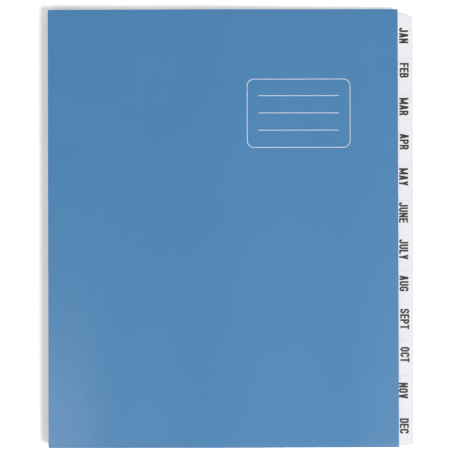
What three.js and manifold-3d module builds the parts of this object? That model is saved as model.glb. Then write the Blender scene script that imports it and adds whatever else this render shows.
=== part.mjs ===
// Desk file sorter, lying closed on its back cover.
// Two boards are joined along the spine by one accordion-folded gusset strip.
// Twelve month dividers are glued in the pleats of the strip, and their tabs step down the fore edge.
// Millimetres. +Z is up, the spine is at -X, the tabs are at +X and the head of the sorter is at +Y.

import * as THREE from 'three';
import { mergeVertices } from 'three/addons/utils/BufferGeometryUtils.js';
import Module from 'manifold-3d';

const wasm = await Module();
wasm.setup();

// Months, from the divider under the front cover to the one above the back cover
const MONTHS = ['jan', 'feb', 'mar', 'apr', 'may', 'june', 'july', 'aug', 'sept', 'oct', 'nov', 'dec'];

// Cover boards
const COVER_WIDTH = 243.6;
const COVER_HEIGHT = 304.8;
const BOARD_THICKNESS = 0.65;
const COVER_CORNER_RADIUS = 0.7;

// Gusset strip
const STRIP_THICKNESS = 0.18;
const STRIP_END_TRIM = 0.8;
const PLEAT_DEPTH = 16;
const PLEAT_INSET = 0.4;
const PLEAT_SPACING = 0.12;
const GLUE_FLAP_WIDTH = 19;

// Divider cards
const CARD_THICKNESS = 0.28;
const CARD_PLAY = 0.1;
const CARD_SPACING = 0.12;
const CARD_SPINE_GAP = 0.5;
const CARD_HEAD_TRIM = 2.2;
const CARD_TAIL_TRIM = 0.2;
const CARD_CORNER_RADIUS = 0.7;
const DRAPE_START_GAP = 0.6;
const DRAPE_LENGTH = 185;

// Month tabs
const TAB_REACH = 10.4;
const TAB_ROOT_INSET = 2;
const TAB_LENGTH = 34;
const TAB_HEAD_SLANT = 2.6;
const TAB_TAIL_SLANT = 1.2;
const TAB_TIP_RADIUS = 2;
const TAB_ROOT_RADIUS = 1.5;

// Film of glue between each glued pair of faces
const GLUE_LINE = 0.03;

// How finely curves are cut into flats
const ARC_DIVISIONS = 3;
const DRAPE_STEPS = 16;
const COVER_BEND_STEPS = 14;

// Places across the sorter
const SPINE_X = -(COVER_WIDTH + TAB_REACH) / 2;
const COVER_FORE_X = SPINE_X + COVER_WIDTH;
const TAB_TIP_X = COVER_FORE_X + TAB_REACH;
const CARD_FORE_X = COVER_FORE_X - TAB_ROOT_INSET;
const HEAD_Y = COVER_HEIGHT / 2;
const TAIL_Y = -COVER_HEIGHT / 2;

// Heights through the gusset
const PLEAT_COUNT = MONTHS.length + 1;
const PLEAT_OPENING = GLUE_LINE + CARD_THICKNESS + CARD_PLAY;
const PLEAT_PITCH = 2 * STRIP_THICKNESS + PLEAT_OPENING + PLEAT_SPACING;
const STRIP_BOTTOM_Z = BOARD_THICKNESS + GLUE_LINE;
const STRIP_TOP_Z = STRIP_BOTTOM_Z + PLEAT_COUNT * PLEAT_PITCH - PLEAT_SPACING;
const FRONT_SPINE_Z = STRIP_TOP_Z + GLUE_LINE;

// Folds of the strip: outer folds show at the spine, inner folds point at the fore edge
const OUTER_FOLD_HOLLOW_RADIUS = PLEAT_OPENING / 2;
const OUTER_FOLD_BACK_RADIUS = OUTER_FOLD_HOLLOW_RADIUS + STRIP_THICKNESS;
const INNER_FOLD_HOLLOW_RADIUS = PLEAT_SPACING / 2;
const INNER_FOLD_BACK_RADIUS = INNER_FOLD_HOLLOW_RADIUS + STRIP_THICKNESS;
const OUTER_FOLD_X = SPINE_X + PLEAT_INSET + OUTER_FOLD_BACK_RADIUS;
const PLEAT_MOUTH_X = SPINE_X + PLEAT_INSET + PLEAT_DEPTH;
const INNER_FOLD_X = PLEAT_MOUTH_X - INNER_FOLD_BACK_RADIUS;
const FLAP_EDGE_X = SPINE_X + PLEAT_INSET + GLUE_FLAP_WIDTH;

// Divider cards, from the gusset to the fore edge
const CARD_SPINE_X = OUTER_FOLD_X + CARD_SPINE_GAP;
const CARD_HEAD_Y = HEAD_Y - CARD_HEAD_TRIM;
const CARD_TAIL_Y = TAIL_Y + CARD_TAIL_TRIM;
const CARD_REST_PITCH = CARD_THICKNESS + CARD_SPACING;
const DRAPE_START_X = PLEAT_MOUTH_X + DRAPE_START_GAP;
const DRAPE_END_X = DRAPE_START_X + DRAPE_LENGTH;
const FIRST_TAB_HEAD_Y = CARD_HEAD_Y;
const LAST_TAB_HEAD_Y = CARD_TAIL_Y + TAB_LENGTH;
const TAB_PITCH = (FIRST_TAB_HEAD_Y - LAST_TAB_HEAD_Y) / (MONTHS.length - 1);

// The front board lies flat on the gusset, then bends down to rest on the top divider at the fore edge
const COVER_BEND_X = FLAP_EDGE_X + DRAPE_START_GAP;

const laminatedBoard = new THREE.MeshStandardMaterial({ color: 0x5488b7, roughness: 0.5, metalness: 0 });
const gussetPaper = new THREE.MeshStandardMaterial({ color: 0x3f6f9f, roughness: 0.75, metalness: 0 });
const indexCard = new THREE.MeshStandardMaterial({ color: 0xecedf1, roughness: 0.7, metalness: 0 });

// A closed outline from its corners, each rounded to its own radius as far as its edges leave room
function roundedOutline(corners) {
  const shape = new THREE.Shape();
  corners.forEach(({ x, y, radius }, index) => {
    const corner = new THREE.Vector2(x, y);
    const before = corners[(index + corners.length - 1) % corners.length];
    const after = corners[(index + 1) % corners.length];
    const toBefore = new THREE.Vector2(before.x - x, before.y - y);
    const toAfter = new THREE.Vector2(after.x - x, after.y - y);
    const room = Math.min(toBefore.length(), toAfter.length()) / 2;
    toBefore.normalize();
    toAfter.normalize();
    const halfAngle = Math.acos(toBefore.dot(toAfter)) / 2;
    const setback = Math.min(radius / Math.tan(halfAngle), room);
    if (setback === 0) {
      shape.lineTo(x, y);
      return;
    }
    const fittedRadius = setback * Math.tan(halfAngle);
    const toCentre = toBefore.clone().add(toAfter).normalize();
    const centre = corner.clone().addScaledVector(toCentre, fittedRadius / Math.sin(halfAngle));
    const startAngle = corner.clone().addScaledVector(toBefore, setback).sub(centre).angle();
    const endAngle = corner.clone().addScaledVector(toAfter, setback).sub(centre).angle();
    const clockwise = toBefore.cross(toAfter) > 0;
    shape.absarc(centre.x, centre.y, fittedRadius, startAngle, endAngle, clockwise);
  });
  shape.closePath();
  return shape;
}

// A section drawn as X across and Z up, extruded from one Y to another
function extrudeAlongY(section, fromY, toY) {
  const geometry = new THREE.ExtrudeGeometry(section, {
    depth: toY - fromY,
    bevelEnabled: false,
    curveSegments: ARC_DIVISIONS,
  });
  geometry.rotateX(Math.PI / 2);
  geometry.translate(0, toY, 0);
  return geometry;
}

// A plan drawn as X and Y, extruded upwards from one Z to another
function extrudeUp(plan, fromZ, toZ) {
  const geometry = new THREE.ExtrudeGeometry(plan, {
    depth: toZ - fromZ,
    bevelEnabled: false,
    curveSegments: ARC_DIVISIONS,
  });
  geometry.translate(0, 0, fromZ);
  return geometry;
}

function toSolid(geometry) {
  const bare = geometry.clone();
  bare.deleteAttribute('normal');
  bare.deleteAttribute('uv');
  const merged = mergeVertices(bare);
  return new wasm.Manifold(new wasm.Mesh({
    numProp: 3,
    vertProperties: merged.attributes.position.array,
    triVerts: merged.index.array,
  }));
}

function toGeometry(solid) {
  const mesh = solid.getMesh();
  const geometry = new THREE.BufferGeometry();
  geometry.setAttribute('position', new THREE.BufferAttribute(mesh.vertProperties, 3));
  geometry.setIndex(new THREE.BufferAttribute(mesh.triVerts, 1));
  return geometry;
}

// A sheet follows its side profile and is die-cut to its plan
function dieCutSheet(profile, plan) {
  const sheet = toSolid(extrudeAlongY(profile, TAIL_Y - BOARD_THICKNESS, HEAD_Y + BOARD_THICKNESS));
  const cutter = toSolid(extrudeUp(plan, -BOARD_THICKNESS, FRONT_SPINE_Z + 2 * BOARD_THICKNESS));
  return toGeometry(sheet.intersect(cutter));
}

// The side profile of a sheet of even thickness whose underside passes through the given points
function sheetProfile(undersidePoints, thickness) {
  const topPoints = undersidePoints.map((point) => new THREE.Vector2(point.x, point.y + thickness));
  return new THREE.Shape([...undersidePoints, ...topPoints.reverse()]);
}

function coverPlan() {
  const radius = COVER_CORNER_RADIUS;
  return roundedOutline([
    { x: SPINE_X, y: TAIL_Y, radius },
    { x: COVER_FORE_X, y: TAIL_Y, radius },
    { x: COVER_FORE_X, y: HEAD_Y, radius },
    { x: SPINE_X, y: HEAD_Y, radius },
  ]);
}

// Underside height of a divider: level in its pleat, then easing down onto the stack below it.
// Places in the stack count up from 1, the divider just above the back cover.
function cardUndersideZ(place, x) {
  const seatedZ = STRIP_BOTTOM_Z + place * PLEAT_PITCH + STRIP_THICKNESS + GLUE_LINE;
  const restingZ = BOARD_THICKNESS + CARD_SPACING + (place - 1) * CARD_REST_PITCH;
  const along = THREE.MathUtils.smoothstep(x, DRAPE_START_X, DRAPE_END_X);
  return THREE.MathUtils.lerp(seatedZ, restingZ, along);
}

// Underside height of the front board: a board clamped on the gusset and propped at its fore edge
function frontUndersideZ(x) {
  const restingZ = cardUndersideZ(MONTHS.length, COVER_FORE_X) + CARD_REST_PITCH;
  const along = THREE.MathUtils.clamp((x - COVER_BEND_X) / (COVER_FORE_X - COVER_BEND_X), 0, 1);
  const bent = (3 * along ** 2 - along ** 3) / 2;
  return THREE.MathUtils.lerp(FRONT_SPINE_Z, restingZ, bent);
}

// Points of an underside: its ends, and even steps over the stretch where it bends
function undersidePoints(fromX, toX, bendStartX, bendEndX, steps, heightAt) {
  const places = [fromX];
  for (let step = 0; step <= steps; step += 1) {
    const x = THREE.MathUtils.lerp(bendStartX, bendEndX, step / steps);
    if (x > fromX && x < toX) places.push(x);
  }
  places.push(toX);
  return places.map((x) => new THREE.Vector2(x, heightAt(x)));
}

function frontCoverGeometry() {
  const underside = undersidePoints(
    SPINE_X, COVER_FORE_X, COVER_BEND_X, COVER_FORE_X, COVER_BEND_STEPS, frontUndersideZ,
  );
  return dieCutSheet(sheetProfile(underside, BOARD_THICKNESS), coverPlan());
}

function backCoverGeometry() {
  return extrudeUp(coverPlan(), 0, BOARD_THICKNESS);
}

// One face of the strip is drawn on the way up through the pleats and the other on the way down
function gussetSection() {
  const section = new THREE.Shape();
  const quarterTurn = Math.PI / 2;
  const outerFoldZ = (pleat) => STRIP_BOTTOM_Z + pleat * PLEAT_PITCH + OUTER_FOLD_BACK_RADIUS;
  const innerFoldZ = (pleat) => STRIP_BOTTOM_Z + (pleat + 1) * PLEAT_PITCH - PLEAT_SPACING / 2;

  section.moveTo(FLAP_EDGE_X, STRIP_BOTTOM_Z);
  for (let pleat = 0; pleat < PLEAT_COUNT; pleat += 1) {
    section.absarc(
      OUTER_FOLD_X, outerFoldZ(pleat), OUTER_FOLD_BACK_RADIUS, 3 * quarterTurn, quarterTurn, true,
    );
    if (pleat < PLEAT_COUNT - 1) {
      section.absarc(
        INNER_FOLD_X, innerFoldZ(pleat), INNER_FOLD_HOLLOW_RADIUS, -quarterTurn, quarterTurn, false,
      );
    }
  }
  section.lineTo(FLAP_EDGE_X, STRIP_TOP_Z);
  section.lineTo(FLAP_EDGE_X, STRIP_TOP_Z - STRIP_THICKNESS);
  for (let pleat = PLEAT_COUNT - 1; pleat >= 0; pleat -= 1) {
    section.absarc(
      OUTER_FOLD_X, outerFoldZ(pleat), OUTER_FOLD_HOLLOW_RADIUS, quarterTurn, 3 * quarterTurn, false,
    );
    if (pleat > 0) {
      section.absarc(
        INNER_FOLD_X, innerFoldZ(pleat - 1), INNER_FOLD_BACK_RADIUS, quarterTurn, -quarterTurn, true,
      );
    }
  }
  section.lineTo(FLAP_EDGE_X, STRIP_BOTTOM_Z + STRIP_THICKNESS);
  section.closePath();
  return section;
}

function gussetGeometry() {
  return extrudeAlongY(gussetSection(), TAIL_Y + STRIP_END_TRIM, HEAD_Y - STRIP_END_TRIM);
}

// Each card has its tab one step nearer the tail than the card above it.
// The first tab runs on from the card's head edge and the last one from its tail edge.
function dividerPlan(monthIndex) {
  const isFirst = monthIndex === 0;
  const isLast = monthIndex === MONTHS.length - 1;
  const tabHeadY = FIRST_TAB_HEAD_Y - monthIndex * TAB_PITCH;
  const tabTailY = tabHeadY - TAB_LENGTH;
  const cardCorner = { radius: CARD_CORNER_RADIUS };
  const corners = [{ x: CARD_SPINE_X, y: CARD_TAIL_Y, ...cardCorner }];
  if (!isLast) corners.push({ x: CARD_FORE_X, y: CARD_TAIL_Y, ...cardCorner });
  corners.push(
    { x: CARD_FORE_X, y: tabTailY, radius: isLast ? 0 : TAB_ROOT_RADIUS },
    { x: TAB_TIP_X, y: tabTailY + TAB_TAIL_SLANT, radius: TAB_TIP_RADIUS },
    { x: TAB_TIP_X, y: tabHeadY - TAB_HEAD_SLANT, radius: TAB_TIP_RADIUS },
    { x: CARD_FORE_X, y: tabHeadY, radius: isFirst ? 0 : TAB_ROOT_RADIUS },
  );
  if (!isFirst) corners.push({ x: CARD_FORE_X, y: CARD_HEAD_Y, ...cardCorner });
  corners.push({ x: CARD_SPINE_X, y: CARD_HEAD_Y, ...cardCorner });
  return roundedOutline(corners);
}

function dividerGeometry(monthIndex) {
  const place = MONTHS.length - monthIndex;
  const underside = undersidePoints(
    CARD_SPINE_X - BOARD_THICKNESS, TAB_TIP_X + BOARD_THICKNESS, DRAPE_START_X, DRAPE_END_X, DRAPE_STEPS,
    (x) => cardUndersideZ(place, x),
  );
  return dieCutSheet(sheetProfile(underside, CARD_THICKNESS), dividerPlan(monthIndex));
}

const sorter = new THREE.Group();

function addPiece(name, geometry, material) {
  const piece = new THREE.Mesh(geometry, material);
  piece.name = name;
  sorter.add(piece);
}

addPiece('back_cover', backCoverGeometry(), laminatedBoard);
addPiece('spine_gusset', gussetGeometry(), gussetPaper);
MONTHS.forEach((month, monthIndex) => {
  addPiece(`${month}_divider`, dividerGeometry(monthIndex), indexCard);
});
addPiece('front_cover', frontCoverGeometry(), laminatedBoard);

export default sorter;
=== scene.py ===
# Looks of a closed desk file sorter: blue laminated covers, white month dividers and a pleated spine gusset.
# Metres, in the part's own frame: +Z up, spine at -X, month tabs at +X, head of the sorter at +Y.
import math
import bmesh
import bpy
from mathutils import Matrix, Vector, geometry, noise


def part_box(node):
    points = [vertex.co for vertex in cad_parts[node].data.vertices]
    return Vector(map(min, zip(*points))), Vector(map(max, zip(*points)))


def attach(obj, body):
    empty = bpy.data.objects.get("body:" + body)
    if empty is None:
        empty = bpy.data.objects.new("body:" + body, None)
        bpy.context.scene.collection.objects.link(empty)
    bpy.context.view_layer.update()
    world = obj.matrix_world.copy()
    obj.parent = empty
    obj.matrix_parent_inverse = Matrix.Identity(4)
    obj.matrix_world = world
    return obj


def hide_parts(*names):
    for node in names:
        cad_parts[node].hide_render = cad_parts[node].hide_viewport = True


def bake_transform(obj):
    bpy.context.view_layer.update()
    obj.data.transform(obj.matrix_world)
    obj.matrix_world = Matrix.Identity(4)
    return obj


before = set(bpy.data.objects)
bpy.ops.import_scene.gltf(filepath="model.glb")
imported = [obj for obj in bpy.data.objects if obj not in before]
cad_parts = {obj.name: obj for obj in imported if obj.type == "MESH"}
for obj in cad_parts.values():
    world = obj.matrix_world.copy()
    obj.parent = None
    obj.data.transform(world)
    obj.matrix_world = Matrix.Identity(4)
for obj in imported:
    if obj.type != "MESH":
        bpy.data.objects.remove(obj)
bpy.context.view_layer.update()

MM = 0.001
MONTHS = ["jan", "feb", "mar", "apr", "may", "june", "july", "aug", "sept", "oct", "nov", "dec"]

# Boards, cards and strip
CARD_THICKNESS = 0.28 * MM
BOARD_THICKNESS = 0.65 * MM
STRIP_THICKNESS = 0.18 * MM
COVER_CORNER_RADIUS = 0.7 * MM
BOARD_EDGE_ROUNDING = 0.09 * MM
CARD_CORNER_RADIUS = 0.7 * MM
CARD_EDGE_ROUNDING = 0.04 * MM

# Where the sheets leave the gusset and come to rest on each other
DRAPE_START_GAP = 0.6 * MM
DRAPE_LENGTH = 185 * MM
PLEAT_DEPTH = 16 * MM
PLEAT_SPACING = 0.12 * MM

# Month tabs
TAB_ROOT_INSET = 2 * MM
TAB_LENGTH = 34 * MM
TAB_HEAD_SLANT = 2.6 * MM
TAB_TAIL_SLANT = 1.2 * MM
TAB_TIP_RADIUS = 2 * MM
TAB_ROOT_RADIUS = 1.5 * MM

# Points in a quarter turn of each kind of corner
COVER_CORNER_STEPS = 5
CARD_CORNER_STEPS = 6
LABEL_CORNER_STEPS = 12
LETTER_CORNER_STEPS = 5

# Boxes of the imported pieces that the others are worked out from
FRONT_LOW, FRONT_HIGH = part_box("front_cover")
BACK_LOW, BACK_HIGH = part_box("back_cover")
STRIP_LOW, STRIP_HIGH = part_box("spine_gusset")
SPINE_X = FRONT_LOW[0]
COVER_FORE_X = FRONT_HIGH[0]
HEAD_Y = FRONT_HIGH[1]
TAIL_Y = FRONT_LOW[1]
PLEAT_COUNT = len(MONTHS) + 1
PLEAT_PITCH = (STRIP_HIGH[2] - STRIP_LOW[2] + PLEAT_SPACING) / PLEAT_COUNT
PLEAT_OPENING = PLEAT_PITCH - PLEAT_SPACING - 2 * STRIP_THICKNESS
PLEAT_MOUTH_X = STRIP_LOW[0] + PLEAT_DEPTH
DRAPE_START_X = PLEAT_MOUTH_X + DRAPE_START_GAP
COVER_BEND_X = STRIP_HIGH[0] + DRAPE_START_GAP


def srgb(red, green, blue):
    """A colour given as it looks on screen, 0 to 255, as the linear values that a shader takes."""
    def linear(level):
        level /= 255
        return level / 12.92 if level <= 0.04045 else ((level + 0.055) / 1.055) ** 2.4
    return (linear(red), linear(green), linear(blue), 1.0)


def smoothstep(value, start, end):
    along = min(max((value - start) / (end - start), 0.0), 1.0)
    return along * along * (3 - 2 * along)


def lerp(start, end, share):
    return start + (end - start) * share


def even_steps(start, end, step):
    count = max(1, round((end - start) / step))
    return [lerp(start, end, index / count) for index in range(count + 1)]


# Node helpers

# Places of the colour sockets on a Mix node, which has a set of sockets for each kind of data
MIX_FIRST_COLOUR = 6
MIX_SECOND_COLOUR = 7
MIX_RESULT_COLOUR = 2


def new_material(name):
    material = bpy.data.materials.new(name)
    material.use_nodes = True
    tree = material.node_tree
    tree.nodes.clear()
    output = tree.nodes.new("ShaderNodeOutputMaterial")
    shader = tree.nodes.new("ShaderNodeBsdfPrincipled")
    tree.links.new(shader.outputs["BSDF"], output.inputs["Surface"])
    return material, tree, shader


def add_node(tree, kind, **settings):
    node = tree.nodes.new(kind)
    for name, value in settings.items():
        setattr(node, name, value)
    return node


def set_inputs(node, **values):
    for name, value in values.items():
        node.inputs[name.replace("_", " ")].default_value = value


def group_tree(name, inputs, outputs):
    """A shader node group with named inputs (name: default) and named outputs (name: socket type)."""
    tree = bpy.data.node_groups.new(name, "ShaderNodeTree")
    for label, default in inputs.items():
        kind = "NodeSocketColor" if isinstance(default, tuple) else "NodeSocketFloat"
        socket = tree.interface.new_socket(label, in_out="INPUT", socket_type=kind)
        socket.default_value = default
    for label, kind in outputs.items():
        tree.interface.new_socket(label, in_out="OUTPUT", socket_type=kind)
    return tree, tree.nodes.new("NodeGroupInput"), tree.nodes.new("NodeGroupOutput")


def place_group(tree, group, **values):
    node = tree.nodes.new("ShaderNodeGroup")
    node.node_tree = group
    set_inputs(node, **values)
    return node


def math_node(tree, operation, first, second):
    node = add_node(tree, "ShaderNodeMath", operation=operation)
    for socket, value in zip(node.inputs, (first, second)):
        if isinstance(value, (int, float)):
            socket.default_value = value
        else:
            tree.links.new(value, socket)
    return node.outputs[0]


def paper_grain_group():
    """Felted paper surface: cloudy tone, fine tooth, a few fibres and the height that goes with them."""
    tree, start, end = group_tree(
        "paper_grain",
        {"Cloud Size": 40.0, "Tooth Size": 1800.0, "Fibre Share": 0.3},
        {"Cloud": "NodeSocketFloat", "Tooth": "NodeSocketFloat", "Height": "NodeSocketFloat"},
    )
    coordinates = tree.nodes.new("ShaderNodeTexCoord")
    cloud = add_node(tree, "ShaderNodeTexNoise")
    set_inputs(cloud, Detail=3.0, Roughness=0.55)
    tooth = add_node(tree, "ShaderNodeTexNoise")
    set_inputs(tooth, Detail=4.0, Roughness=0.7)
    fibre = add_node(tree, "ShaderNodeTexNoise")
    set_inputs(fibre, Detail=1.0, Distortion=1.5)
    stretch = add_node(tree, "ShaderNodeMapping")
    set_inputs(stretch, Scale=(0.35, 1.0, 1.0))
    for texture in (cloud, tooth):
        tree.links.new(coordinates.outputs["Object"], texture.inputs["Vector"])
    tree.links.new(coordinates.outputs["Object"], stretch.inputs["Vector"])
    tree.links.new(stretch.outputs["Vector"], fibre.inputs["Vector"])
    tree.links.new(start.outputs["Cloud Size"], cloud.inputs["Scale"])
    tree.links.new(start.outputs["Tooth Size"], tooth.inputs["Scale"])
    tree.links.new(start.outputs["Tooth Size"], fibre.inputs["Scale"])
    fibre_height = math_node(tree, "MULTIPLY", fibre.outputs["Fac"], start.outputs["Fibre Share"])
    height = math_node(tree, "ADD", tooth.outputs["Fac"], fibre_height)
    tree.links.new(cloud.outputs["Fac"], end.inputs["Cloud"])
    tree.links.new(tooth.outputs["Fac"], end.inputs["Tooth"])
    tree.links.new(height, end.inputs["Height"])
    return tree


def tone_group():
    """Mixes a light and a dark tone by a mask, held between two limits of that mask."""
    tree, start, end = group_tree(
        "two_tones",
        {"Mask": 0.5, "From": 0.35, "To": 0.65, "Dark": (0.4, 0.4, 0.4, 1.0), "Light": (0.6, 0.6, 0.6, 1.0)},
        {"Color": "NodeSocketColor"},
    )
    limits = add_node(tree, "ShaderNodeMapRange")
    mix = add_node(tree, "ShaderNodeMix", data_type="RGBA")
    tree.links.new(start.outputs["Mask"], limits.inputs["Value"])
    tree.links.new(start.outputs["From"], limits.inputs["From Min"])
    tree.links.new(start.outputs["To"], limits.inputs["From Max"])
    tree.links.new(limits.outputs["Result"], mix.inputs["Factor"])
    tree.links.new(start.outputs["Dark"], mix.inputs[MIX_FIRST_COLOUR])
    tree.links.new(start.outputs["Light"], mix.inputs[MIX_SECOND_COLOUR])
    tree.links.new(mix.outputs[MIX_RESULT_COLOUR], end.inputs["Color"])
    return tree


PAPER_GRAIN = paper_grain_group()
TWO_TONES = tone_group()


def bump_from(tree, shader, height, strength, distance):
    bump = add_node(tree, "ShaderNodeBump")
    set_inputs(bump, Strength=strength, Distance=distance)
    tree.links.new(height, bump.inputs["Height"])
    tree.links.new(bump.outputs["Normal"], shader.inputs["Normal"])


def vary_roughness(tree, shader, mask, low, high):
    spread = add_node(tree, "ShaderNodeMapRange")
    set_inputs(spread, To_Min=low, To_Max=high)
    tree.links.new(mask, spread.inputs["Value"])
    tree.links.new(spread.outputs["Result"], shader.inputs["Roughness"])


def grained_material(name, dark, light, roughness, cloud_size, tooth_size, bump_strength, bump_distance):
    """A paper or laminate surface: two close tones, uneven gloss and a fine raised grain.
    The sizes are how many clouds or teeth there are to a metre."""
    material, tree, shader = new_material(name)
    grain = place_group(tree, PAPER_GRAIN, Cloud_Size=cloud_size, Tooth_Size=tooth_size)
    tones = place_group(tree, TWO_TONES, Dark=dark, Light=light)
    tree.links.new(grain.outputs["Cloud"], tones.inputs["Mask"])
    tree.links.new(tones.outputs["Color"], shader.inputs["Base Color"])
    vary_roughness(tree, shader, grain.outputs["Tooth"], *roughness)
    bump_from(tree, shader, grain.outputs["Height"], bump_strength, bump_distance)
    return material


def laminate_material():
    """Satin film over blue print on the outside of the boards."""
    return grained_material(
        "blue_satin_laminate", dark=srgb(74, 131, 179), light=srgb(76, 132, 181), roughness=(0.25, 0.31),
        cloud_size=22.0, tooth_size=2600.0, bump_strength=0.12, bump_distance=0.03 * MM,
    )


def liner_material():
    """Uncoated paper on the inside of the boards."""
    return grained_material(
        "board_liner_paper", dark=srgb(226, 229, 232), light=srgb(228, 231, 234), roughness=(0.7, 0.82),
        cloud_size=35.0, tooth_size=1700.0, bump_strength=0.25, bump_distance=0.04 * MM,
    )


def core_material():
    """Cut edge of the board, where its plies of grey-white pulp show."""
    material, tree, shader = new_material("board_core_edge")
    grain = place_group(tree, PAPER_GRAIN, Cloud_Size=900.0, Tooth_Size=5200.0, Fibre_Share=0.6)
    coordinates = tree.nodes.new("ShaderNodeTexCoord")
    plies = add_node(tree, "ShaderNodeTexWave", bands_direction="Z")
    set_inputs(plies, Scale=1500.0, Distortion=1.2, Detail=2.0)
    tree.links.new(coordinates.outputs["Object"], plies.inputs["Vector"])
    tones = place_group(tree, TWO_TONES, From=0.0, To=1.0)
    set_inputs(tones, Dark=srgb(196, 196, 194), Light=srgb(226, 226, 224))
    tree.links.new(plies.outputs["Fac"], tones.inputs["Mask"])
    tree.links.new(tones.outputs["Color"], shader.inputs["Base Color"])
    vary_roughness(tree, shader, grain.outputs["Tooth"], low=0.78, high=0.92)
    bump_from(tree, shader, grain.outputs["Height"], strength=0.5, distance=0.05 * MM)
    return material


def card_material():
    """Smooth white index card of the dividers, greyed with painted shade in a band along its cut edges,
    standing in for the thin shadow at the seams where the tabs lie on one another.
    """
    material, tree, shader = new_material("white_index_card")
    grain = place_group(tree, PAPER_GRAIN, Cloud_Size=30.0, Tooth_Size=2200.0)
    tones = place_group(tree, TWO_TONES, Dark=srgb(233, 234, 238), Light=srgb(235, 236, 240))
    tree.links.new(grain.outputs["Cloud"], tones.inputs["Mask"])
    rim = tree.nodes.new("ShaderNodeAttribute")
    rim.attribute_name = "rim"
    # Painted shade: the rim band is mixed towards grey to stand in for the shadow along the card's cut edges
    edge_shade = place_group(tree, TWO_TONES, From=0.0, To=1.0, Light=srgb(208, 210, 214))
    tree.links.new(tones.outputs["Color"], edge_shade.inputs["Dark"])
    tree.links.new(rim.outputs["Fac"], edge_shade.inputs["Mask"])
    tree.links.new(edge_shade.outputs["Color"], shader.inputs["Base Color"])
    vary_roughness(tree, shader, grain.outputs["Tooth"], low=0.52, high=0.64)
    bump_from(tree, shader, grain.outputs["Height"], strength=0.18, distance=0.03 * MM)
    return material


WEAVE_SCALE = 420.0


def gusset_material():
    """Tough blue paper with a pressed weave, painted paler over the sharp folds as a highlight on their
    crests.
    """
    material, tree, shader = new_material("blue_gusset_paper")
    grain = place_group(tree, PAPER_GRAIN, Cloud_Size=120.0, Tooth_Size=3000.0)
    tones = place_group(tree, TWO_TONES, Dark=srgb(54, 98, 143), Light=srgb(62, 108, 154))
    tree.links.new(grain.outputs["Cloud"], tones.inputs["Mask"])
    # Painted highlight: the fold's roundness, 1 at its crest, mixes the blue towards a pale tone
    crease = tree.nodes.new("ShaderNodeAttribute")
    crease.attribute_name = "crease"
    fold_crest_highlight = place_group(tree, TWO_TONES, From=0.2, To=1.4, Light=srgb(128, 163, 195))
    tree.links.new(tones.outputs["Color"], fold_crest_highlight.inputs["Dark"])
    tree.links.new(crease.outputs["Fac"], fold_crest_highlight.inputs["Mask"])
    tree.links.new(fold_crest_highlight.outputs["Color"], shader.inputs["Base Color"])
    coordinates = tree.nodes.new("ShaderNodeTexCoord")
    weft = add_node(tree, "ShaderNodeTexWave", bands_direction="X")
    warp = add_node(tree, "ShaderNodeTexWave", bands_direction="Y")
    for threads in (weft, warp):
        set_inputs(threads, Scale=WEAVE_SCALE, Distortion=0.4)
        tree.links.new(coordinates.outputs["Object"], threads.inputs["Vector"])
    weave = math_node(tree, "MAXIMUM", weft.outputs["Fac"], warp.outputs["Fac"])
    height = math_node(tree, "ADD", weave, grain.outputs["Height"])
    vary_roughness(tree, shader, grain.outputs["Tooth"], low=0.6, high=0.76)
    bump_from(tree, shader, height, strength=0.35, distance=0.05 * MM)
    return material


def ink_material(name, dark, light, roughness):
    """Printing ink that lets a little of the paper's tooth through."""
    return grained_material(
        name, dark, light, roughness,
        cloud_size=500.0, tooth_size=2600.0, bump_strength=0.15, bump_distance=0.02 * MM,
    )


LAMINATE = laminate_material()
LINER = liner_material()
CORE = core_material()
CARD = card_material()
GUSSET = gusset_material()
MONTH_INK = ink_material("charcoal_month_ink", srgb(28, 28, 32), srgb(36, 36, 40), (0.5, 0.6))
LABEL_INK = ink_material("pale_label_ink", srgb(214, 224, 234), srgb(222, 230, 238), (0.45, 0.55))


# Flat outlines

def arc_points(centre, radius, start_angle, end_angle, steps):
    return [
        centre + radius * Vector((math.cos(angle), math.sin(angle)))
        for angle in (lerp(start_angle, end_angle, index / steps) for index in range(steps + 1))
    ]


def rounded_path(corners, steps, closed=True):
    """Points of a path whose corners (x, y, radius) are rounded as far as their edges leave room."""
    points = []
    count = len(corners)
    for index, (x, y, radius) in enumerate(corners):
        corner = Vector((x, y))
        is_end = not closed and index in (0, count - 1)
        if is_end or radius == 0:
            points.append(corner)
            continue
        to_before = Vector(corners[index - 1][:2]) - corner
        to_after = Vector(corners[(index + 1) % count][:2]) - corner
        room = min(to_before.length, to_after.length) / 2
        to_before.normalize()
        to_after.normalize()
        half_angle = math.acos(max(-1.0, min(1.0, to_before.dot(to_after)))) / 2
        setback = min(radius / math.tan(half_angle), room)
        fitted = setback * math.tan(half_angle)
        centre = corner + (to_before + to_after).normalized() * fitted / math.sin(half_angle)
        first = corner + to_before * setback - centre
        last = corner + to_after * setback - centre
        start_angle = math.atan2(first.y, first.x)
        turn = first.angle_signed(last)
        points.extend(arc_points(centre, fitted, start_angle, start_angle - turn, steps))
    return points


def cover_outline():
    radius = COVER_CORNER_RADIUS
    return rounded_path([
        (SPINE_X, TAIL_Y, radius), (COVER_FORE_X, TAIL_Y, radius),
        (COVER_FORE_X, HEAD_Y, radius), (SPINE_X, HEAD_Y, radius),
    ], COVER_CORNER_STEPS)


def tab_head_y(month_index):
    """Where a card's tab starts. The first is at the head edge, and the last reaches the tail edge."""
    low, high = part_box(MONTHS[month_index] + "_divider")
    first = high[1]
    last = low[1] + TAB_LENGTH
    return lerp(first, last, month_index / (len(MONTHS) - 1))


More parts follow.
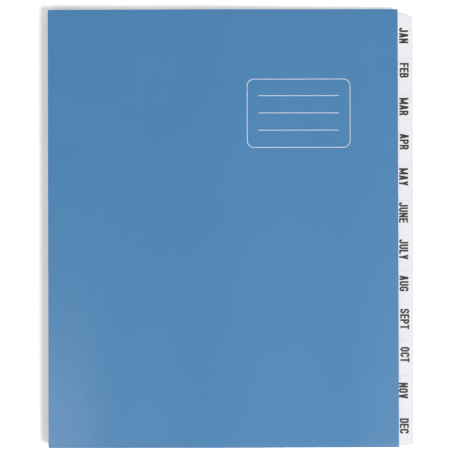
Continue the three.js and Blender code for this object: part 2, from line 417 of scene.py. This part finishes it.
def divider_outline(month_index):
    low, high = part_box(MONTHS[month_index] + "_divider")
    fore_x = COVER_FORE_X - TAB_ROOT_INSET
    head_y = tab_head_y(month_index)
    tail_y = head_y - TAB_LENGTH
    is_first = month_index == 0
    is_last = month_index == len(MONTHS) - 1
    corners = [(low[0], low[1], CARD_CORNER_RADIUS)]
    if not is_last:
        corners.append((fore_x, low[1], CARD_CORNER_RADIUS))
    corners += [
        (fore_x, tail_y, 0 if is_last else TAB_ROOT_RADIUS),
        (high[0], tail_y + TAB_TAIL_SLANT, TAB_TIP_RADIUS),
        (high[0], head_y - TAB_HEAD_SLANT, TAB_TIP_RADIUS),
        (fore_x, head_y, 0 if is_first else TAB_ROOT_RADIUS),
    ]
    if not is_first:
        corners.append((fore_x, high[1], CARD_CORNER_RADIUS))
    corners.append((low[0], high[1], CARD_CORNER_RADIUS))
    return rounded_path(corners, CARD_CORNER_STEPS)


# Heights of the sheets

def ripple(x, y, wavelength, seed):
    """Gentle unevenness between -1 and 1, the same on every run."""
    return noise.noise(Vector((x / wavelength, y / wavelength, seed)))


# Seeds that give each kind of sheet a ripple of its own
CARD_SEED = 0.5
COVER_SEED = 3.7
STRIP_SEED = 7.3

CARD_RIPPLE = 0.035 * MM
CARD_RIPPLE_WAVELENGTH = 70 * MM
CARD_EASE_LENGTH = 40 * MM

# The front cover isn't quite flat: a low wave from spine to fore edge, and a lip that lifts at the fore edge
COVER_RIPPLE = 0.06 * MM
COVER_RIPPLE_WAVELENGTH = 95 * MM
COVER_EASE_LENGTH = 50 * MM
COVER_WAVE = 0.40 * MM
COVER_WAVE_LENGTH = 125 * MM
COVER_WAVE_FALL_X = 23 * MM
COVER_LIP_RISE = 0.06 * MM
COVER_LIP_WIDTH = 24 * MM


def card_underside(month_index):
    """Height of a card's underside: seated in its pleat, then eased down onto the leaf below it."""
    low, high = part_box(MONTHS[month_index] + "_divider")
    resting_z = low[2]
    seated_z = high[2] - CARD_THICKNESS

    def height(x, y):
        along = smoothstep(x, DRAPE_START_X, DRAPE_START_X + DRAPE_LENGTH)
        free = smoothstep(x, DRAPE_START_X, DRAPE_START_X + CARD_EASE_LENGTH)
        uneven = CARD_RIPPLE * free * (1 + ripple(x, y, CARD_RIPPLE_WAVELENGTH, CARD_SEED))
        return lerp(seated_z, resting_z, along) + uneven
    return height


def front_underside(x, y):
    """Height of the front cover's underside: level on the glued flap, then bent down onto the leaves."""
    seated_z = FRONT_HIGH[2] - BOARD_THICKNESS
    resting_z = FRONT_LOW[2]
    span = COVER_FORE_X - COVER_BEND_X
    along = min(max((x - COVER_BEND_X) / span, 0.0), 1.0)
    bent = (3 * along ** 2 - along ** 3) / 2
    free = smoothstep(x, COVER_BEND_X, COVER_BEND_X + COVER_EASE_LENGTH)
    settled = 1 - smoothstep(x, COVER_FORE_X - COVER_EASE_LENGTH, COVER_FORE_X)
    uneven = COVER_RIPPLE * free * settled * ripple(x, y, COVER_RIPPLE_WAVELENGTH, COVER_SEED)
    wave = COVER_WAVE * free * settled * math.sin(math.tau * (COVER_WAVE_FALL_X - x) / COVER_WAVE_LENGTH)
    lip = COVER_LIP_RISE * smoothstep(x, COVER_FORE_X - COVER_LIP_WIDTH, COVER_FORE_X)
    return lerp(seated_z, resting_z, bent) + uneven + wave + lip


def back_underside(x, y):
    return BACK_LOW[2]


def front_top(x, y):
    return front_underside(x, y) + BOARD_THICKNESS


# Meshes

CUT_TOLERANCE = 1e-7
# Vertical part of the normal that parts top and bottom from the cut edge, and level paper from the rim
LEVEL_NORMAL = 0.5
RIM_NORMAL = 0.98
SHARP_ANGLE = math.radians(50)
ROUNDING_SEGMENTS = 2


def add_piece(name, mesh, materials):
    piece = bpy.data.objects.new(name, mesh)
    bpy.context.scene.collection.objects.link(piece)
    for material in materials:
        mesh.materials.append(material)
    return piece


def cut_into_grid(flat, xs, ys):
    """Cuts a flat mesh along every x and y, so that it can be bent."""
    cuts = [((x, 0, 0), (1, 0, 0)) for x in xs] + [((0, y, 0), (0, 1, 0)) for y in ys]
    for place, facing in cuts:
        parts = flat.verts[:] + flat.edges[:] + flat.faces[:]
        bmesh.ops.bisect_plane(flat, geom=parts, dist=CUT_TOLERANCE, plane_co=place, plane_no=facing)


def flat_shape(outline):
    flat = bmesh.new()
    flat.faces.new([flat.verts.new((point.x, point.y, 0)) for point in outline])
    return flat


def thicken(flat, underside, thickness):
    """A closed sheet of even thickness over a flat mesh, bent to the underside's height."""
    flat.verts.ensure_lookup_table()
    sheet = bmesh.new()
    lower = [sheet.verts.new((v.co.x, v.co.y, underside(v.co.x, v.co.y))) for v in flat.verts]
    upper = [sheet.verts.new(v.co + Vector((0, 0, thickness))) for v in lower]
    for index, vertex in enumerate(flat.verts):
        vertex.index = index
    for face in flat.faces:
        ring = [vertex.index for vertex in face.verts]
        if face.normal.z < 0:
            ring.reverse()
        sheet.faces.new([upper[index] for index in ring])
        sheet.faces.new([lower[index] for index in reversed(ring)])
    for edge in flat.edges:
        if edge.is_boundary:
            first, last = (vertex.index for vertex in edge.verts)
            sheet.faces.new([lower[first], lower[last], upper[last], upper[first]])
    bmesh.ops.recalc_face_normals(sheet, faces=sheet.faces[:])
    return sheet


def finish_sheet(name, sheet, rounding, top, bottom, side):
    """Rounds the cut edges, marks them as the rim, and gives top, bottom and cut edge their own finish."""
    sheet.normal_update()
    sharp = [
        edge for edge in sheet.edges
        if len(edge.link_faces) == 2 and edge.calc_face_angle() > SHARP_ANGLE
        and abs(edge.verts[0].co.z - edge.verts[1].co.z) < rounding
        and any(abs(face.normal.z) > LEVEL_NORMAL for face in edge.link_faces)
    ]
    bmesh.ops.bevel(
        sheet, geom=sharp, offset=rounding, segments=ROUNDING_SEGMENTS, profile=0.5, affect="EDGES",
    )
    sheet.normal_update()
    # The rim value is the mask that the card material greys with painted shade along the cut edges
    rim_layer = sheet.verts.layers.float.new("rim")
    for vertex in sheet.verts:
        vertex[rim_layer] = float(any(abs(face.normal.z) < RIM_NORMAL for face in vertex.link_faces))
    for face in sheet.faces:
        face.smooth = True
        level = face.normal.z
        face.material_index = 0 if level > LEVEL_NORMAL else 1 if level < -LEVEL_NORMAL else 2
    mesh = bpy.data.meshes.new(name)
    sheet.to_mesh(mesh)
    sheet.free()
    piece = add_piece(name, mesh, [top, bottom, side])
    weighted = piece.modifiers.new("weighted_normals", "WEIGHTED_NORMAL")
    weighted.keep_sharp = True
    return piece


COVER_GRID = 4 * MM
CARD_GRID_ACROSS = 6 * MM
CARD_GRID_ALONG = 14 * MM
# Band along a card's cut edge that is greyed with painted shade
CARD_RIM_WIDTH = 0.4 * MM


def cover_board(name, node, body, underside, top, bottom):
    flat = flat_shape(cover_outline())
    xs = even_steps(SPINE_X, COVER_FORE_X, COVER_GRID)[1:-1]
    ys = even_steps(TAIL_Y, HEAD_Y, COVER_GRID)[1:-1]
    cut_into_grid(flat, xs, ys)
    sheet = thicken(flat, underside, BOARD_THICKNESS)
    flat.free()
    board = finish_sheet(name, sheet, BOARD_EDGE_ROUNDING, top, bottom, CORE)
    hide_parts(node)
    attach(board, body)


def divider_card(month_index):
    month = MONTHS[month_index]
    flat = flat_shape(divider_outline(month_index))
    flat.normal_update()
    bmesh.ops.inset_region(
        flat, faces=flat.faces[:], thickness=CARD_RIM_WIDTH, use_even_offset=True, use_boundary=True,
    )
    low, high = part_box(month + "_divider")
    xs = even_steps(DRAPE_START_X, high[0], CARD_GRID_ACROSS)[:-1]
    ys = even_steps(low[1], high[1], CARD_GRID_ALONG)[1:-1]
    cut_into_grid(flat, xs, ys)
    sheet = thicken(flat, card_underside(month_index), CARD_THICKNESS)
    flat.free()
    card = finish_sheet(month + "_divider_card", sheet, CARD_EDGE_ROUNDING, CARD, CARD, CARD)
    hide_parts(month + "_divider")
    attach(card, "leaves")


# Gusset

FOLD_STEPS = 8
PANEL_STEP = 3 * MM
GUSSET_GRID_ALONG = 7.5 * MM
FOLD_UNEVENNESS = 0.12 * MM
FOLD_RIPPLE_WAVELENGTH = 45 * MM
FOLD_RIPPLE_SHIFT = 13 * MM


def strip_path():
    """Middle line of the folded strip from the back cover's flap to the front cover's flap.
    Each point is (x, z, crease, panel), with crease 1 at a fold's middle and 0 on the flat walls."""
    outer_radius = (PLEAT_OPENING + STRIP_THICKNESS) / 2
    inner_radius = (PLEAT_SPACING + STRIP_THICKNESS) / 2
    outer_x = STRIP_LOW[0] + outer_radius + STRIP_THICKNESS / 2
    inner_x = PLEAT_MOUTH_X - inner_radius - STRIP_THICKNESS / 2
    points = []

    def panel(from_x, to_x, z, number):
        steps = max(2, round(abs(to_x - from_x) / PANEL_STEP))
        points.extend((lerp(from_x, to_x, step / steps), z, 0.0, number) for step in range(1, steps))

    def fold(centre_x, centre_z, radius, side, number):
        for step in range(FOLD_STEPS + 1):
            angle = math.pi * (step / FOLD_STEPS - 0.5)
            crease = math.cos(angle)
            x = centre_x + side * radius * math.cos(angle)
            points.append((x, centre_z + radius * math.sin(angle), crease, number))

    z = STRIP_LOW[2] + STRIP_THICKNESS / 2
    points.append((STRIP_HIGH[0], z, 0.0, 0))
    for pleat in range(PLEAT_COUNT):
        last_pleat = pleat == PLEAT_COUNT - 1
        panel(STRIP_HIGH[0] if pleat == 0 else inner_x, outer_x, z, 2 * pleat)
        fold(outer_x, z + outer_radius, outer_radius, -1, 2 * pleat + 0.5)
        z += 2 * outer_radius
        panel(outer_x, STRIP_HIGH[0] if last_pleat else inner_x, z, 2 * pleat + 1)
        if not last_pleat:
            fold(inner_x, z + inner_radius, inner_radius, 1, 2 * pleat + 1.5)
            z += 2 * inner_radius
    points.append((STRIP_HIGH[0], z, 0.0, 2 * PLEAT_COUNT - 1))
    return points


def strip_piece(name, path):
    """The strip's material along a stretch of its path, from tail to head."""
    ys = even_steps(STRIP_LOW[1], STRIP_HIGH[1], GUSSET_GRID_ALONG)
    strip = bmesh.new()
    crease_layer = strip.verts.layers.float.new("crease")
    rings = []
    for y in ys:
        backs, faces = [], []
        for index, (x, z, crease, number) in enumerate(path):
            before = Vector(path[max(index - 1, 0)][:2])
            after = Vector(path[min(index + 1, len(path) - 1)][:2])
            along = (after - before).normalized()
            across = Vector((along.y, -along.x)) * STRIP_THICKNESS / 2
            near_spine = 1 - smoothstep(x, STRIP_LOW[0], PLEAT_MOUTH_X)
            drift = ripple(y, number * FOLD_RIPPLE_SHIFT, FOLD_RIPPLE_WAVELENGTH, STRIP_SEED)
            shift = FOLD_UNEVENNESS * near_spine * (1 + drift) / 2
            for side, ring in ((1, faces), (-1, backs)):
                vertex = strip.verts.new((x + side * across.x + shift, y, z + side * across.y))
                vertex[crease_layer] = crease
                ring.append(vertex)
        rings.append(faces + backs[::-1])
    count = len(rings[0])
    for low_ring, high_ring in zip(rings, rings[1:]):
        for index in range(count):
            after = (index + 1) % count
            strip.faces.new([low_ring[index], low_ring[after], high_ring[after], high_ring[index]])
    for ring in (rings[0], rings[-1]):
        for index in range(count // 2 - 1):
            strip.faces.new([ring[index], ring[index + 1], ring[count - 2 - index], ring[count - 1 - index]])
    bmesh.ops.recalc_face_normals(strip, faces=strip.faces[:])
    for face in strip.faces:
        face.smooth = abs(face.normal.y) < LEVEL_NORMAL
    mesh = bpy.data.meshes.new(name)
    strip.to_mesh(mesh)
    strip.free()
    piece = add_piece(name, mesh, [GUSSET])
    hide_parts("spine_gusset")
    return piece


def gusset_strip():
    """The strip in three pieces: the pleat beside each cover stays where it is built, and the pleats between
    them go with the leaves.
    """
    path = strip_path()
    last_panel = 2 * PLEAT_COUNT - 1
    first_walls = [index for index, point in enumerate(path) if point[3] == 1]
    last_walls = [index for index, point in enumerate(path) if point[3] == last_panel - 1]
    first_split = first_walls[len(first_walls) // 2]
    last_split = last_walls[len(last_walls) // 2]

    back_pleat = strip_piece("gusset_back_pleat", path[:first_split + 1])
    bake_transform(back_pleat)

    middle = strip_piece("gusset_middle_pleats", path[first_split:last_split + 1])
    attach(middle, "leaves")

    front_pleat = strip_piece("gusset_front_pleat", path[last_split:])
    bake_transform(front_pleat)


# Month lettering, a condensed bold index alphabet drawn on a cap height of 1

STEM = 0.20
NIB = 0.165
WIDTH = 0.53
WIDE = 0.70
LEFT = STEM / 2
RIGHT = WIDTH - STEM / 2
TOP = 1 - STEM / 2
FOOT = STEM / 2
WAIST = 0.5
BOWL = 0.2
TIGHT_BOWL = 0.17
ARM = WIDTH * 0.92
ARM_THICKNESS = STEM * 0.9
ARM_WAIST = 0.42
SLANT_WIDTH = STEM * 1.08
CLOSEST_POINTS = 0.002


def stroke(*points, radius=BOWL):
    """Outline of a pen stroke of stem width along points, with its bends rounded and its ends cut square."""
    rounded = rounded_path([(x, y, radius) for x, y in points], LETTER_CORNER_STEPS, closed=False)
    path = [rounded[0]]
    for before, after in zip(rounded, rounded[1:]):
        if (after - before).length > CLOSEST_POINTS:
            path.append(after)
    sides = ([], [])
    for index, point in enumerate(path):
        before = path[max(index - 1, 0)]
        after = path[min(index + 1, len(path) - 1)]
        along = (after - before).normalized()
        across = Vector((-along.y, along.x)) * STEM / 2
        sides[0].append(point + across)
        sides[1].append(point - across)
    return sides[0] + sides[1][::-1]


def bar(x0, y0, x1, y1):
    return [Vector((x0, y0)), Vector((x1, y0)), Vector((x1, y1)), Vector((x0, y1))]


def slant(foot_x, foot_y, top_x, top_y, width=SLANT_WIDTH):
    """A diagonal with level ends, given by the left corner of each end."""
    return [
        Vector((foot_x, foot_y)), Vector((foot_x + width, foot_y)),
        Vector((top_x + width, top_y)), Vector((top_x, top_y)),
    ]


def left_stem():
    return bar(0, 0, STEM, 1)


def glyph_shapes():
    """Each letter's advance width and the shapes that it is the union of."""
    middle = (WIDTH - STEM) / 2
    shapes = {
        "A": (WIDTH + 0.04, [
            slant(0, 0, middle + 0.02, 1), slant(WIDTH + 0.04 - SLANT_WIDTH, 0, middle + 0.02, 1),
            bar(0.12, 0.19, WIDTH - 0.08, 0.34),
        ]),
        "B": (WIDTH, [
            left_stem(),
            stroke((LEFT, TOP), (RIGHT - 0.02, TOP), (RIGHT - 0.02, 0.53), (LEFT, 0.53), radius=0.16),
            stroke((LEFT, 0.53), (RIGHT, 0.53), (RIGHT, FOOT), (LEFT, FOOT), radius=TIGHT_BOWL),
        ]),
        "C": (WIDTH, [
            stroke((RIGHT, 0.64), (RIGHT, TOP), (LEFT, TOP), (LEFT, FOOT), (RIGHT, FOOT), (RIGHT, 0.36)),
        ]),
        "D": (WIDTH, [left_stem(), stroke((LEFT, TOP), (RIGHT, TOP), (RIGHT, FOOT), (LEFT, FOOT))]),
        "E": (ARM, [
            left_stem(), bar(0, 0, ARM, ARM_THICKNESS),
            bar(0, ARM_WAIST, ARM, ARM_WAIST + ARM_THICKNESS), bar(0, 1 - ARM_THICKNESS, ARM, 1),
        ]),
        "F": (ARM, [
            left_stem(), bar(0, ARM_WAIST, ARM - 0.02, ARM_WAIST + ARM_THICKNESS),
            bar(0, 1 - ARM_THICKNESS, ARM, 1),
        ]),
        "G": (WIDTH, [
            stroke((RIGHT, 0.66), (RIGHT, TOP), (LEFT, TOP), (LEFT, FOOT), (RIGHT, FOOT), (RIGHT, 0.52)),
            bar(WAIST * WIDTH, 0.36, WIDTH, 0.52),
        ]),
        "J": (WIDTH - 0.04, [stroke((LEFT, 0.34), (LEFT, FOOT), (RIGHT - 0.04, FOOT), (RIGHT - 0.04, 1))]),
        "L": (ARM - 0.03, [left_stem(), bar(0, 0, ARM - 0.03, ARM_THICKNESS)]),
        "M": (WIDE, [
            left_stem(), bar(WIDE - STEM, 0, WIDE, 1),
            slant((WIDE - NIB) / 2, 0.1, 0, 1, NIB), slant((WIDE - NIB) / 2, 0.1, WIDE - NIB, 1, NIB),
        ]),
        "N": (WIDTH, [left_stem(), bar(WIDTH - STEM, 0, WIDTH, 1), slant(WIDTH - NIB, 0, 0, 1, NIB)]),
        "O": (WIDTH, [
            stroke((LEFT, WAIST), (LEFT, TOP), (RIGHT, TOP), (RIGHT, WAIST)),
            stroke((LEFT, WAIST), (LEFT, FOOT), (RIGHT, FOOT), (RIGHT, WAIST)),
        ]),
        "P": (WIDTH, [
            left_stem(), stroke((LEFT, TOP), (RIGHT, TOP), (RIGHT, 0.46), (LEFT, 0.46), radius=TIGHT_BOWL),
        ]),
        "R": (WIDTH, [
            left_stem(), stroke((LEFT, TOP), (RIGHT, TOP), (RIGHT, 0.48), (LEFT, 0.48), radius=TIGHT_BOWL),
            slant(WIDTH - STEM * 1.02, 0, WIDTH - STEM * 1.45, 0.45),
        ]),
        "S": (WIDTH, [stroke(
            (RIGHT, 0.68), (RIGHT, TOP), (LEFT, TOP), (LEFT, WAIST), (RIGHT, WAIST), (RIGHT, FOOT),
            (LEFT, FOOT), (LEFT, 0.32), radius=TIGHT_BOWL,
        )]),
        "T": (WIDTH - 0.02, [
            bar(0, 1 - ARM_THICKNESS, WIDTH - 0.02, 1), bar(middle - 0.01, 0, middle - 0.01 + STEM, 1),
        ]),
        "U": (WIDTH, [stroke((LEFT, 1), (LEFT, FOOT), (RIGHT, FOOT), (RIGHT, 1))]),
        "V": (WIDTH + 0.03, [
            slant(middle + 0.015, 0, 0, 1), slant(middle + 0.015, 0, WIDTH + 0.03 - SLANT_WIDTH, 1),
        ]),
        "Y": (WIDTH + 0.02, [
            bar(middle + 0.01, 0, middle + 0.01 + STEM, 0.46),
            slant(middle + 0.01, 0.36, 0, 1), slant(middle + 0.01, 0.36, WIDTH + 0.02 - SLANT_WIDTH, 1),
        ]),
    }
    return shapes


GLYPHS = glyph_shapes()
LETTER_SPACE = 0.075


def word_outlines(word):
    """Shapes of a word set from x = 0, and its length."""
    outlines = []
    pen = 0.0
    for letter in word:
        width, shapes = GLYPHS[letter]
        outlines += [[point + Vector((pen, 0)) for point in shape] for shape in shapes]
        pen += width + LETTER_SPACE
    return outlines, pen - LETTER_SPACE


def turns_left(outline):
    """True if the outline runs anticlockwise."""
    return sum(point.cross(after) for point, after in zip(outline, outline[1:] + outline[:1])) > 0


def joined_flat(outlines):
    """Triangles that cover overlapping outlines once."""
    points, faces = [], []
    for outline in outlines:
        faces.append(list(range(len(points), len(points) + len(outline))))
        points += outline if turns_left(outline) else outline[::-1]
    joined = geometry.delaunay_2d_cdt(points, [], faces, 0, CUT_TOLERANCE, True)
    flat = bmesh.new()
    vertices = [flat.verts.new((point.x, point.y, 0)) for point in joined[0]]
    for face, covered_by in zip(joined[2], joined[5]):
        if covered_by:
            flat.faces.new([vertices[index] for index in face])
    loose = [vertex for vertex in flat.verts if not vertex.link_faces]
    bmesh.ops.delete(flat, geom=loose, context="VERTS")
    flat.normal_update()
    return flat


LETTER_HEIGHT = 6.25 * MM
FIRST_PRINT_Y = 134.3 * MM
PRINT_PITCH = 24.67 * MM
# The printing isn't quite in line: how far each month's feet stand from the cover's fore edge,
# and how far the word has slipped towards the tail
PRINT_FOOT_GAPS = [1.05, 1.35, 1.1, 1.3, 0.8, 0.65, 0.75, 0.9, 1.35, 1.45, 0.35, 0.9]
PRINT_SLIPS = [0.2, -0.2, 0.4, 0.1, 0.1, 0.1, 1.2, 0.2, 0.4, 0.6, 1.1, 1.0]
INK_THICKNESS = 0.012 * MM
INK_SINK = 0.004 * MM


def month_print(month_index, upward):
    """The month on one face of its tab, reading from head to tail with its feet at the cover's fore edge."""
    month = MONTHS[month_index]
    outlines, length = word_outlines(month.upper())
    underside = card_underside(month_index)
    centre_y = FIRST_PRINT_Y - month_index * PRINT_PITCH - PRINT_SLIPS[month_index] * MM
    foot_x = COVER_FORE_X + PRINT_FOOT_GAPS[month_index] * MM
    reading = -1 if upward else 1
    placed = [
        [
            Vector((
                foot_x + point.y * LETTER_HEIGHT,
                centre_y + reading * (point.x - length / 2) * LETTER_HEIGHT,
            ))
            for point in outline
        ]
        for outline in outlines
    ]
    flat = joined_flat(placed)

    def ink_underside(x, y):
        if upward:
            return underside(x, y) + CARD_THICKNESS - INK_SINK
        return underside(x, y) - INK_THICKNESS + INK_SINK
    sheet = thicken(flat, ink_underside, INK_THICKNESS)
    flat.free()
    face_name = "top" if upward else "underside"
    name = month + "_tab_print_" + face_name
    mesh = bpy.data.meshes.new(name)
    sheet.to_mesh(mesh)
    sheet.free()
    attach(add_piece(name, mesh, [MONTH_INK]), "leaves")


# A plain write-on label box printed on the front cover

LABEL_CENTRE = (47.5 * MM, 80.0 * MM)
LABEL_SIZE = (72 * MM, 48 * MM)
LABEL_RADIUS = 5 * MM
LABEL_LINE = 0.45 * MM
LABEL_RULES = 3
LABEL_RULE_MARGIN = 8 * MM
LABEL_GRID = 5 * MM


def label_frame_outline(inset):
    half_width = LABEL_SIZE[0] / 2 - inset
    half_height = LABEL_SIZE[1] / 2 - inset
    x, y = LABEL_CENTRE
    radius = LABEL_RADIUS - inset
    return rounded_path([
        (x - half_width, y - half_height, radius), (x + half_width, y - half_height, radius),
        (x + half_width, y + half_height, radius), (x - half_width, y + half_height, radius),
    ], LABEL_CORNER_STEPS)


def label_box():
    outer = label_frame_outline(0)
    inner = label_frame_outline(LABEL_LINE)
    flat = bmesh.new()
    rings = [[flat.verts.new((point.x, point.y, 0)) for point in ring] for ring in (outer, inner)]
    for index in range(len(outer)):
        after = (index + 1) % len(outer)
        flat.faces.new([rings[0][index], rings[0][after], rings[1][after], rings[1][index]])
    x, y = LABEL_CENTRE
    half_rule = LABEL_SIZE[0] / 2 - LABEL_RULE_MARGIN
    for rule in range(LABEL_RULES):
        rule_y = y + LABEL_SIZE[1] * ((rule + 1) / (LABEL_RULES + 1) - 0.5)
        line = bar(x - half_rule, rule_y, x + half_rule, rule_y + LABEL_LINE)
        flat.faces.new([flat.verts.new((point.x, point.y, 0)) for point in line])
    half_width, half_height = LABEL_SIZE[0] / 2, LABEL_SIZE[1] / 2
    xs = even_steps(x - half_width, x + half_width, LABEL_GRID)
    ys = even_steps(y - half_height, y + half_height, LABEL_GRID)
    cut_into_grid(flat, xs, ys)
    flat.normal_update()
    sheet = thicken(flat, lambda px, py: front_top(px, py) - INK_SINK, INK_THICKNESS)
    flat.free()
    mesh = bpy.data.meshes.new("front_cover_label_box")
    sheet.to_mesh(mesh)
    sheet.free()
    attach(add_piece("front_cover_label_box", mesh, [LABEL_INK]), "front")


# Stage, light and camera

FLOOR_SIZE = 6.0
FLOOR_DROP = 0.02 * MM
FLOOR_WHITE = 0.94
CAMERA_DISTANCE = 1.4
CAMERA_SIGHT = 20.0
CAMERA_TARGET = Vector((-3.98 * MM, 2.38 * MM, 9 * MM))
CAMERA_SIDE_LEAN = math.radians(1.41)
CAMERA_TAIL_LEAN = math.radians(0.48)
CAMERA_ROLL = math.radians(-0.15)
FRAME_WIDTH = 313.16 * MM
SENSOR_WIDTH = 36.0
SKY_ZENITH_LEVEL = 0.10
SKY_HORIZON_LEVEL = 1.0
KEY_SHARE = 0.56
KEY_DIRECTION = Vector((0.53, -0.31, 1.0))
KEY_DISTANCE = 4.2
KEY_SIZE = 1.18
SHEEN_SHARE = 0.07
SHEEN_DIRECTION = Vector((-0.28, -0.23, 1.0))
SHEEN_DISTANCE = 1.4
SHEEN_SIZE = 0.2
SHEEN_COLOUR = (1.0, 0.96, 0.86)
FLOOR_LIFT = 0.27
FLOOR_SHADOW_REACH = 0.35
FLOOR_WHITE_REACH = 1.3


def camera_ray(tree):
    """1 for rays that come straight from the camera, which see a white background."""
    return tree.nodes.new("ShaderNodeLightPath").outputs["Is Camera Ray"]


def floor():
    mesh = bpy.data.meshes.new("studio_floor")
    half = FLOOR_SIZE / 2
    corners = [(-half, -half, 0), (half, -half, 0), (half, half, 0), (-half, half, 0)]
    mesh.from_pydata(corners, [], [(0, 1, 2, 3)])
    ground = bpy.data.objects.new("studio_floor", mesh)
    bpy.context.scene.collection.objects.link(ground)
    ground.location.z = -FLOOR_DROP
    material, tree, shader = new_material("studio_floor_white")
    set_inputs(shader, Base_Color=(FLOOR_WHITE,) * 3 + (1.0,), Roughness=1.0, Specular_IOR_Level=0.0)
    set_inputs(shader, Emission_Color=(1.0, 1.0, 1.0, 1.0))
    place = tree.nodes.new("ShaderNodeTexCoord")
    distance = add_node(tree, "ShaderNodeVectorMath", operation="LENGTH")
    lift = add_node(tree, "ShaderNodeMapRange", interpolation_type="SMOOTHSTEP")
    set_inputs(lift, From_Min=FLOOR_SHADOW_REACH, From_Max=FLOOR_WHITE_REACH, To_Min=FLOOR_LIFT, To_Max=1.0)
    tree.links.new(place.outputs["Object"], distance.inputs[0])
    tree.links.new(distance.outputs["Value"], lift.inputs["Value"])
    seen_lift = math_node(tree, "MULTIPLY", camera_ray(tree), lift.outputs["Result"])
    tree.links.new(seen_lift, shader.inputs["Emission Strength"])
    mesh.materials.append(material)


def sky():
    """Pale walls and a dimmer ceiling, with plain white behind the sorter."""
    world = bpy.data.worlds.new("studio_sky")
    bpy.context.scene.world = world
    world.use_nodes = True
    tree = world.node_tree
    background = tree.nodes["Background"]
    set_inputs(background, Color=(1.0, 1.0, 1.0, 1.0))
    direction = tree.nodes.new("ShaderNodeTexCoord")
    upness = tree.nodes.new("ShaderNodeSeparateXYZ")
    room = add_node(tree, "ShaderNodeMapRange")
    set_inputs(room, To_Min=SKY_HORIZON_LEVEL, To_Max=SKY_ZENITH_LEVEL)
    strength = add_node(tree, "ShaderNodeMapRange")
    set_inputs(strength, To_Max=1.0)
    tree.links.new(direction.outputs["Generated"], upness.inputs["Vector"])
    tree.links.new(upness.outputs["Z"], room.inputs["Value"])
    tree.links.new(camera_ray(tree), strength.inputs["Value"])
    tree.links.new(room.outputs["Result"], strength.inputs["To Min"])
    tree.links.new(strength.outputs["Result"], background.inputs["Strength"])


def area_light(name, direction, distance, size, share, colour=(1.0, 1.0, 1.0)):
    """A square soft light that adds a share of the level at which white renders as white."""
    light = bpy.data.lights.new(name, "AREA")
    light.color = colour
    light.shape = "SQUARE"
    light.size = size
    towards = direction.normalized()
    light.energy = math.pi ** 2 * share * distance ** 2 / towards.z
    lamp = bpy.data.objects.new(name, light)
    bpy.context.scene.collection.objects.link(lamp)
    lamp.location = CAMERA_TARGET + towards * distance
    lamp.rotation_euler = towards.to_track_quat("Z", "Y").to_euler()


def camera():
    data = bpy.data.cameras.new("product_camera")
    data.sensor_width = SENSOR_WIDTH
    data.lens = SENSOR_WIDTH * CAMERA_DISTANCE / FRAME_WIDTH
    data.clip_end = CAMERA_SIGHT
    eye = bpy.data.objects.new("product_camera", data)
    bpy.context.scene.collection.objects.link(eye)
    back = Vector((math.tan(CAMERA_SIDE_LEAN), -math.tan(CAMERA_TAIL_LEAN), 1)).normalized()
    right = Vector((0, 1, 0)).cross(back).normalized()
    up = back.cross(right)
    turn = Matrix((right, up, back)).transposed() @ Matrix.Rotation(CAMERA_ROLL, 3, "Z")
    eye.matrix_world = Matrix.Translation(CAMERA_TARGET + back * CAMERA_DISTANCE) @ turn.to_4x4()
    bpy.context.scene.camera = eye


cover_board("front_cover_board", "front_cover", "front", front_underside, LAMINATE, LINER)
cover_board("back_cover_board", "back_cover", "back", back_underside, LINER, LAMINATE)
for month_index in range(len(MONTHS)):
    divider_card(month_index)
    month_print(month_index, upward=True)
    month_print(month_index, upward=False)
gusset_strip()
label_box()
floor()
sky()
area_light("key_softbox", KEY_DIRECTION, KEY_DISTANCE, KEY_SIZE, KEY_SHARE)
area_light("sheen_softbox", SHEEN_DIRECTION, SHEEN_DISTANCE, SHEEN_SIZE, SHEEN_SHARE, SHEEN_COLOUR)
camera()
bpy.context.scene.view_settings.view_transform = "Standard"
